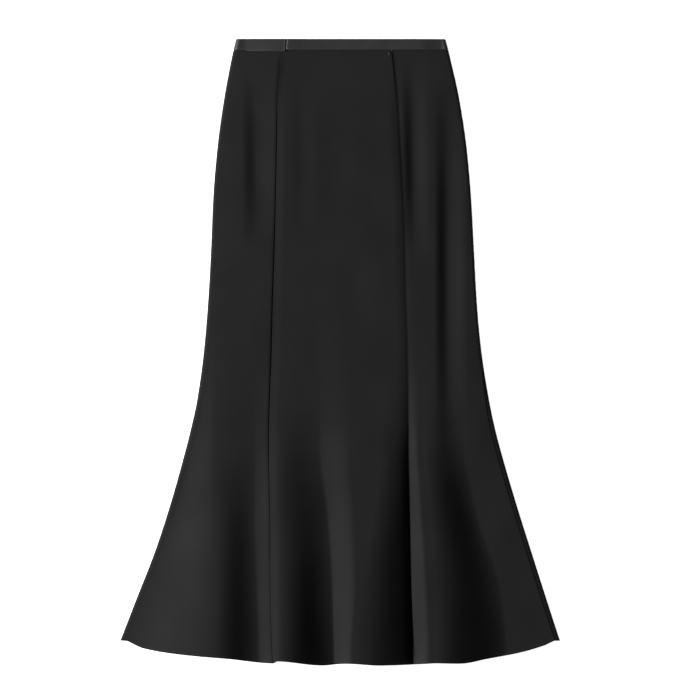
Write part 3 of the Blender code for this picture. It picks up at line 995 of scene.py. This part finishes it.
@dataclass
class GoredSkirt:
    """The six gores with their seams and hem."""

    form: Form
    rows: int = 250
    back_rows: int = 170
    hem_stitch: float = 0.0032
    hem_fold: float = 0.00022
    seam_round: float = 0.0009
    pucker: Pucker = Pucker()
    stitch: Stitch = Stitch()

    def gores(self) -> list[Gore]:
        """The gores, going round from the left side seam over the front to the back."""
        low = self.form.left_seam_angle
        return [
            Gore("front_side_left", (RollStretch(Side.LEFT, low, 90.0),
                                     FlatStretch(LEFT_EDGE, LEFT_SEAM, Face.FRONT)),
                 LEFT_SIDE, LEFT_FRONT, 92, 11),
            Gore("front_centre", (FlatStretch(LEFT_SEAM, RIGHT_SEAM, Face.FRONT),),
                 LEFT_FRONT, RIGHT_FRONT, 116, 11),
            Gore("front_side_right", (FlatStretch(RIGHT_SEAM, RIGHT_EDGE, Face.FRONT),
                                      RollStretch(Side.RIGHT, 90.0, None)),
                 RIGHT_FRONT, RIGHT_SIDE, 92, 11),
            Gore("back_side_right", (RollStretch(Side.RIGHT, None, -90.0),
                                     FlatStretch(RIGHT_EDGE, RIGHT_SEAM, Face.BACK)),
                 RIGHT_SIDE, RIGHT_BACK, 76, 23),
            Gore("back_centre", (FlatStretch(RIGHT_SEAM, LEFT_SEAM, Face.BACK),),
                 RIGHT_BACK, LEFT_BACK, 84, 23),
            Gore("back_side_left", (FlatStretch(LEFT_SEAM, LEFT_EDGE, Face.BACK),
                                    RollStretch(Side.LEFT, -90.0, low)),
                 LEFT_BACK, LEFT_SIDE, 76, 23),
        ]

    def row_plan(self, back: bool) -> RowPlan:
        """The rows down a gore, with one on the hem's stitches."""
        top = (0.0, 0.0002, 0.0005, 0.0009, 0.0015, 0.0026, 0.0045)
        bottom = (0.0, 0.00015, 0.0004, 0.0008, 0.0014, 0.0021, 0.0027, self.hem_stitch,
                  0.0037, 0.0044, 0.0056, 0.0076)
        return RowPlan(top, self.back_rows if back else self.rows, bottom)

    def panel(self, gore: Gore) -> Panel:
        """The middle of a gore's cloth, drawn up to its seams' lines by the sewing."""
        cut = Cut(self.form.cloth, self.row_plan(gore.node.startswith("back")))
        plan = ColumnPlan((0.0, 0.0002, 0.0005, 0.0009, 0.0014, 0.0022, 0.0036), gore.columns,
                          gore.first.half, gore.last.half)
        return plan.lay(self.form, [(part, cut) for part in gore.stretches])

    def relief(self, gore: Gore, panel: Panel, normal: Array) -> Array:
        """How far the laid cloth stands from its plain form.

        Args:
            gore: the gore.
            panel: the middle of its cloth.
            normal: its outward directions.

        Returns:
            The relief along the normals.
        """
        seams = panel.from_sides()
        drop = self.form.length / 2.0 - panel.points[..., 1]
        laid = ease((panel.from_top - 0.004) / 0.060) * ease((np.abs(normal[..., 2]) - 0.25) / 0.5)
        relief = Drape(gore.seed).at(panel.points) * laid
        drawn = ease((panel.from_top - 0.002) / 0.02)
        for seam, sink, away in ((gore.first, gore.first.after, panel.from_first),
                                 (gore.last, gore.last.before, panel.from_last)):
            relief += seam.ripple * self.pucker.at(drop, away, seam.phase) * drawn
            relief -= sink * np.exp(-(away / seam.reach) ** 2) * drawn
        relief += self.pucker.at(panel.points[..., 0], panel.from_hem, 1.3) * ease(seams / 0.004)
        stitched = (panel.from_hem - self.hem_stitch) / 0.0008
        relief -= 0.6 * self.hem_fold * np.exp(-stitched ** 2)
        return relief

    def build(self, gore: Gore) -> tuple[bpy.types.Object, bpy.types.Object]:
        """Makes a gore and the row of stitches along its hem.

        Args:
            gore: the gore.

        Returns:
            The gore and its stitches.
        """
        panel = self.panel(gore)
        normal = panel.normals()
        middle = panel.points + normal * self.relief(gore, panel, normal)[..., None]
        half = self.form.cloth / 2.0
        sides = (rounded(panel.from_first, self.seam_round, gore.first.full)
                 * rounded(panel.from_last, self.seam_round, gore.last.full))
        ends = rounded(np.minimum(panel.from_top, panel.from_hem), 0.0007, 0.25)
        turned = self.hem_fold * ease(1.0 - (panel.from_hem - self.hem_stitch) / 0.0012)
        outer = middle + normal * ((half + turned) * sides * ends)[..., None]
        inner = middle - normal * ((half + 0.5 * turned) * rounded(panel.from_sides(), 0.0007, 0.3)
                                   * ends)[..., None]
        piece = shell(gore.node + "_cloth", outer, inner, panel.pattern_map())
        # Painted shade: the colour darkens beside each seam by that seam's shade.
        shade = np.maximum(gore.first.shade * np.exp(-(panel.from_first / gore.first.reach) ** 2),
                           gore.last.shade * np.exp(-(panel.from_last / gore.last.reach) ** 2))
        mark_edge_shade_and_highlight(piece, shade)
        row = len(outer) - 1 - self.row_plan(gore.node.startswith("back")).bottom.index(self.hem_stitch)
        stitches = self.stitch.row(gore.node + "_hem_stitches", outer[row], normal[row])
        self.declare(gore, piece, stitches, panel)
        return piece, stitches

    def declare(self, gore: Gore, piece: bpy.types.Object, stitches: bpy.types.Object,
                panel: Panel) -> None:
        """Hangs a gore and its stitches on the root, hides the CAD node that it stands for, and logs how
        large it was cut.
        """
        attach(piece, "root")
        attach(stitches, "root")
        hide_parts(gore.node)
        width, length = panel.flat_size()
        panel.area()
        log.info("%s cut %.3f x %.3f m, %.4f m2", piece.name, width, length, panel.area())

    def dress(self, pieces: list[tuple[bpy.types.Object, bpy.types.Object]]) -> None:
        """Gives the gores their crepe and the stitches their thread."""
        crepe, thread = CrepeFinish().made(), THREAD.made()
        for piece, stitches in pieces:
            piece.data.materials.append(crepe)
            stitches.data.materials.append(thread)


# --- the waistband ---

@dataclass(frozen=True)
class Dent:
    """A soft dent across the depth of the waistband."""

    across: float
    depth: float
    left: float
    right: float


@dataclass
class Waistband:
    """The doubled band: its front length, and its back length that laps over the front."""

    form: Form
    wall: float = 0.0020
    tuck: float = 0.004
    lap_end: float = -0.0827
    lap_deeper: float = 0.0020
    lap_length: float = 0.085
    deeper_from: float = -0.1460
    deeper_over: float = 0.007
    edge_reach: float = 0.0013
    edge_steps: tuple[float, ...] = (0.0, 0.00015, 0.0004, 0.0008, 0.0013, 0.0020)
    rows: int = 12
    dents: tuple[Dent, ...] = (
        Dent(-0.1440, 0.0014, 0.0130, 0.0420),
        Dent(0.1540, 0.0016, 0.0310, 0.0070),
    )
    meets_lap: Dent = Dent(-0.0818, -0.0020, 0.0008, 0.0400)

    def cut(self, raised: float) -> Cut:
        """How the band's columns run."""
        rows = RowPlan(self.edge_steps, self.rows, self.edge_steps)
        return Cut(self.wall, rows, 0.0, self.form.band_left, raised)

    def panel(self, node: str) -> Panel:
        """The middle of one length of the band.

        Args:
            node: the CAD node that it stands for.

        Returns:
            The panel.
        """
        under = self.cut(0.0)
        lap = self.cut(self.wall + self.form.seam_gap)
        hip = self.form.right_seam_hip
        if node == "waistband_front":
            cuts = [(FlatStretch(Line("left_edge", self.tuck), RIGHT_EDGE, Face.FRONT), under),
                    (RollStretch(Side.RIGHT, 90.0, hip), under)]
            columns = 150
        else:
            end = Line("left_seam", self.lap_end - STATIONS[0].left_seam)
            cuts = [(RollStretch(Side.RIGHT, hip, -90.0), under),
                    (FlatStretch(RIGHT_EDGE, LEFT_EDGE, Face.BACK), under),
                    (RollStretch(Side.LEFT, -90.0, 90.0), lap),
                    (FlatStretch(LEFT_EDGE, end, Face.FRONT), lap)]
            columns = 230
        panel = ColumnPlan(self.edge_steps, columns).lay(self.form, cuts)
        self.narrow(panel, node)
        return panel

    def narrow(self, panel: Panel, node: str) -> None:
        """Sets the rows between the waist edge and the band's own depth, deeper under the lap."""
        across = np.clip(panel.points[..., 0], STATIONS[0].left_edge, STATIONS[0].right_edge)
        depth = self.form.band_depth(across)
        if node == "waistband_back":
            on_front = panel.from_last < self.lap_length
            lap = ease((panel.points[..., 0] - self.deeper_from) / self.deeper_over) * on_front
            depth = depth + self.lap_deeper * lap
        share = (self.form.length / 2.0 - panel.points[..., 1]) / self.form.band_left
        panel.points[..., 1] = self.form.length / 2.0 - depth * share
        panel.from_top = depth * share
        panel.from_hem = depth * (1.0 - share)

    def build(self, node: str) -> bpy.types.Object:
        """Makes one length of the band.

        Args:
            node: the CAD node that it stands for.

        Returns:
            The piece.
        """
        panel = self.panel(node)
        normal = panel.normals()
        normal[..., 1] = 0.0
        normal /= np.linalg.norm(normal, axis=-1, keepdims=True)
        relief = np.zeros(panel.along.shape)
        facing_up = ease((normal[..., 2] - 0.2) / 0.5)
        dents = self.dents if node == "waistband_back" else (*self.dents, self.meets_lap)
        for dent in dents:
            offset = panel.points[..., 0] - dent.across
            side = np.where(offset < 0.0, offset / dent.left, offset / dent.right)
            relief -= dent.depth * np.cos(math.pi / 2.0 * np.clip(side, -1.0, 1.0)) ** 2 * facing_up
        edges = np.minimum(panel.from_top, panel.from_hem)
        half = self.wall / 2.0
        # The band's colour turns paler along its lower edge.
        pressed = np.exp(-(panel.from_hem / self.edge_reach) ** 2) * 0.45
        if node == "waistband_back":
            lap = (panel.from_last < self.lap_length) * facing_up
            # Painted highlight on the lap: a pale line just inside its end and a paler lower edge.
            line = np.exp(-((panel.from_last - 0.0016) / 0.0011) ** 2)
            pressed = np.maximum(pressed, line * lap) + 0.45 * lap * np.exp(-(panel.from_hem / 0.0018) ** 2)
            edges = np.minimum(edges, 2.0 * panel.from_last)
        full = rounded(edges, 0.0008, 0.2)
        points = panel.points + normal * relief[..., None]
        outer = points + normal * (half * full)[..., None]
        inner = points - normal * (half * full)[..., None]
        piece = shell(node + "_ribbon", outer, inner, panel.pattern_map())
        mark_edge_shade_and_highlight(piece, pressed)
        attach(piece, "root")
        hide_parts(node)
        panel.area()
        return piece

    def dress(self, pieces: list[bpy.types.Object]) -> None:
        """Gives the band its ribbed satin."""
        satin = BandFinish().made()
        for piece in pieces:
            piece.data.materials.append(satin)


# --- small parts ---

@dataclass
class SeamTack:
    """A little knot of pale thread that holds the top of the right front seam."""

    form: Form
    across: float = 0.0746
    drop: float = 0.0226
    length: float = 0.0044
    width: float = 0.0036
    height: float = 0.0012
    turns: int = 4

    def build(self) -> bpy.types.Object:
        """Models the knot as a few wound turns of thread, joined.

        Returns:
            The piece.
        """
        level = float(self.form.front_height(self.across, self.drop)) + self.form.cloth / 2.0
        centre = Vector((self.across, self.form.length / 2.0 - self.drop, level + 0.0002))
        made = []
        for turn in range(self.turns):
            share = (turn + 0.5) / self.turns - 0.5
            bpy.ops.object.select_all(action="DESELECT")
            tilt = (math.radians(90.0), 0.0, math.radians(70 + 22 * turn))
            bpy.ops.mesh.primitive_torus_add(
                major_segments=18, minor_segments=8, major_radius=self.width * (0.5 - 0.5 * share ** 2),
                minor_radius=self.height * 0.30, rotation=tilt)
            ring = bpy.context.object
            bpy.ops.object.transform_apply(location=False, rotation=True, scale=False)
            ring.data.transform(Matrix.Diagonal((1.0, 1.0, 0.34, 1.0)))
            ring.data.transform(Matrix.Translation(centre + Vector((share * 0.0012, share * 0.0010, 0.0))))
            made.append(ring)
        bpy.ops.object.select_all(action="DESELECT")
        for ring in made:
            ring.select_set(True)
        bpy.context.view_layer.objects.active = made[0]
        bpy.ops.object.join()
        piece = bpy.context.object
        piece.name = "seam_tack"
        piece.location = (0.0, 0.0, 0.0)
        piece.data.shade_smooth()
        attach(piece, "root")
        return piece

    def dress(self, piece: bpy.types.Object) -> None:
        """Gives the knot its thread."""
        piece.data.materials.append(TACK_THREAD.made())


@dataclass
class SideZip:
    """The concealed zip in the left side seam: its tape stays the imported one, the rest is added."""

    form: Form
    tab_length: float = 0.0118
    tab_width: float = 0.0042
    tab_wall: float = 0.0009
    coil_top: float = 0.0240
    coil_end: float = 0.2060
    coil_pitch: float = 0.0013
    coil_radius: float = 0.0008

    def build_tab(self) -> bpy.types.Object:
        """Models the tab: a rounded leaf with a recess, hanging down outside the rolled side.

        Returns:
            The piece.
        """
        low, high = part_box("zip_tab")
        bpy.ops.object.select_all(action="DESELECT")
        bpy.ops.mesh.primitive_cylinder_add(vertices=28, radius=self.tab_width / 2.0, depth=self.tab_wall)
        piece = bpy.context.object
        piece.name = "zip_tab_leaf"
        neck = self.tab_length - self.tab_width
        for vertex in piece.data.vertices:
            if vertex.co.y > 1e-6:
                vertex.co.y += neck
                vertex.co.x *= 0.62
        bpy.ops.object.mode_set(mode="EDIT")
        bpy.ops.mesh.select_all(action="DESELECT")
        bpy.ops.object.mode_set(mode="OBJECT")
        for face in piece.data.polygons:
            face.select = abs(face.normal.z) > 0.9
        bpy.ops.object.mode_set(mode="EDIT")
        bpy.ops.mesh.inset(thickness=0.0006, depth=-0.00018)
        bpy.ops.object.mode_set(mode="OBJECT")
        bevel = piece.modifiers.new("soft edges", "BEVEL")
        bevel.width = 0.00012
        bevel.segments = 2
        bpy.ops.object.modifier_apply(modifier=bevel.name)
        middle = (low + high) / 2.0
        turn = Matrix.Rotation(math.radians(-90.0), 4, "Y")
        seat = Matrix.Translation((low.x + self.tab_wall / 2.0, middle.y - neck / 2.0, middle.z))
        piece.data.transform(seat @ turn)
        piece.data.shade_smooth()
        piece.data.set_sharp_from_angle(angle=math.radians(40.0))
        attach(piece, "root")
        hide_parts("zip_tab")
        return piece

    def build_link(self) -> bpy.types.Object:
        """Models the little bail that the tab hangs from.

        Returns:
            The piece.
        """
        low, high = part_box("zip_tab")
        bpy.ops.object.select_all(action="DESELECT")
        bpy.ops.mesh.primitive_torus_add(major_segments=24, minor_segments=10, major_radius=0.0013,
                                         minor_radius=0.00035)
        piece = bpy.context.object
        piece.name = "zip_bail"
        piece.data.transform(Matrix.Translation((low.x + 0.0012, high.y - 0.0006, (low.z + high.z) / 2.0)))
        piece.data.shade_smooth()
        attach(piece, "root")
        return piece

    def build_coil(self) -> bpy.types.Object:
        """Models the closed coil along the inside of the seam as joined turns.

        Returns:
            The piece.
        """
        bpy.ops.object.select_all(action="DESELECT")
        bpy.ops.mesh.primitive_torus_add(major_segments=8, minor_segments=4,
                                         major_radius=self.coil_radius, minor_radius=0.00026)
        one = bpy.context.object
        points = np.array([vertex.co for vertex in one.data.vertices])[:, [0, 2, 1]]
        faces = [list(face.vertices)[::-1] for face in one.data.polygons]
        bpy.data.objects.remove(one, do_unlink=True)
        drops = np.arange(self.coil_top, self.coil_end, self.coil_pitch)
        rows = RowPlan((0.0,), len(drops) - 2, (0.0,))
        cut = Cut(self.form.cloth, rows, float(drops[0]), float(drops[-1]))
        seam = RollStretch(Side.LEFT, self.form.left_seam_angle, self.form.left_seam_angle + 1.0)
        path = seam.column(self.form, cut, 0.0) + np.array([0.0030, 0.0, 0.0014])
        piece = joined_copies("zip_coil", path[:, None] + points[None], faces)
        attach(piece, "root")
        return piece

    def dress(self, tab: bpy.types.Object, link: bpy.types.Object, coil: bpy.types.Object) -> None:
        """Gives the zip its lacquer, its nylon and its woven tape."""
        lacquer = LACQUER.made()
        tab.data.materials.append(lacquer)
        link.data.materials.append(lacquer)
        coil.data.materials.append(COIL.made())
        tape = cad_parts["side_zip"]
        tape.data.materials.clear()
        tape.data.materials.append(TAPE.made())


# --- the studio ---

@dataclass
class Studio:
    """A white sweep that glows, one square key low on the left, and a camera straight above."""

    floor_size: float = 9.0
    floor_glow: float = 1.0
    key_power: float = 590.0
    key_turn: float = 176.0
    key_height: float = 32.5
    key_size: float = 1.5
    fill_power: float = 2.0
    reach: float = 6.0
    sky: float = 0.01
    camera_height: float = 7.0
    view_width: float = 1.0689
    view_centre: tuple[float, float] = (0.0150, 0.0036)

    def build(self) -> None:
        """Makes the floor, the lights and the camera."""
        self.lay_floor()
        self.hang_light("key", self.key_turn, self.key_height, self.key_size, self.key_power)
        self.hang_light("fill", -6.0, 60.0, 2.0, self.fill_power)
        world = bpy.data.worlds.new("pale sky")
        world.use_nodes = True
        world.node_tree.nodes["Background"].inputs["Color"].default_value = (1.0, 1.0, 1.0, 1.0)
        world.node_tree.nodes["Background"].inputs["Strength"].default_value = self.sky
        scene = bpy.context.scene
        scene.world = world
        scene.view_settings.view_transform = "Standard"
        data = bpy.data.cameras.new("camera")
        camera = bpy.data.objects.new("camera", data)
        scene.collection.objects.link(camera)
        camera.location = (*self.view_centre, self.camera_height)
        data.sensor_width = 36.0
        data.lens = data.sensor_width * self.camera_height / self.view_width
        data.clip_end = 60.0
        scene.camera = camera

    def lay_floor(self) -> None:
        """Lays the white sweep, which gives off light of its own so that it stays white all over."""
        bpy.ops.object.select_all(action="DESELECT")
        bpy.ops.mesh.primitive_plane_add(size=self.floor_size, location=(0.0, 0.0, -0.0002))
        floor = bpy.context.object
        floor.name = "floor"
        bench = Bench("white_sweep")
        bench.set(Base_Color=(0.9, 0.9, 0.9, 1.0), Roughness=0.9, Emission_Color=(1.0, 1.0, 1.0, 1.0),
                  Emission_Strength=self.floor_glow, Specular_IOR_Level=0.1)
        floor.data.materials.append(bench.material)
        floor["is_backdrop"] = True

    def hang_light(self, name: str, turn: float, height: float, size: float, power: float) -> None:
        """Hangs a soft light.

        Args:
            name: its name.
            turn: degrees round from +X.
            height: degrees above the floor.
            size: the side of its square panel.
            power: watts.
        """
        data = bpy.data.lights.new(name, "AREA")
        data.shape = "SQUARE"
        data.size = size
        data.energy = power
        light = bpy.data.objects.new(name, data)
        bpy.context.scene.collection.objects.link(light)
        around, above = math.radians(turn), math.radians(height)
        light.location = (self.reach * math.cos(around) * math.cos(above),
                          self.reach * math.sin(around) * math.cos(above), self.reach * math.sin(above))
        light.rotation_euler = (-Vector(light.location)).to_track_quat("-Z", "Y").to_euler()
        light.visible_camera = False


def main() -> None:
    """Builds and dresses the skirt, then the studio round it."""
    logging.basicConfig(level=logging.INFO, format="%(name)s: %(message)s")
    form = Form()
    Studio().build()
    skirt = GoredSkirt(form)
    skirt.dress([skirt.build(gore) for gore in skirt.gores()])
    band = Waistband(form)
    band.dress([band.build(node) for node in ("waistband_front", "waistband_back")])
    tack = SeamTack(form)
    tack.dress(tack.build())
    side_zip = SideZip(form)
    side_zip.dress(side_zip.build_tab(), side_zip.build_link(), side_zip.build_coil())
    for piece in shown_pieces():
        log.info("%s: %d faces", piece.name, len(piece.data.polygons))


if __name__ == "__main__":
    main()
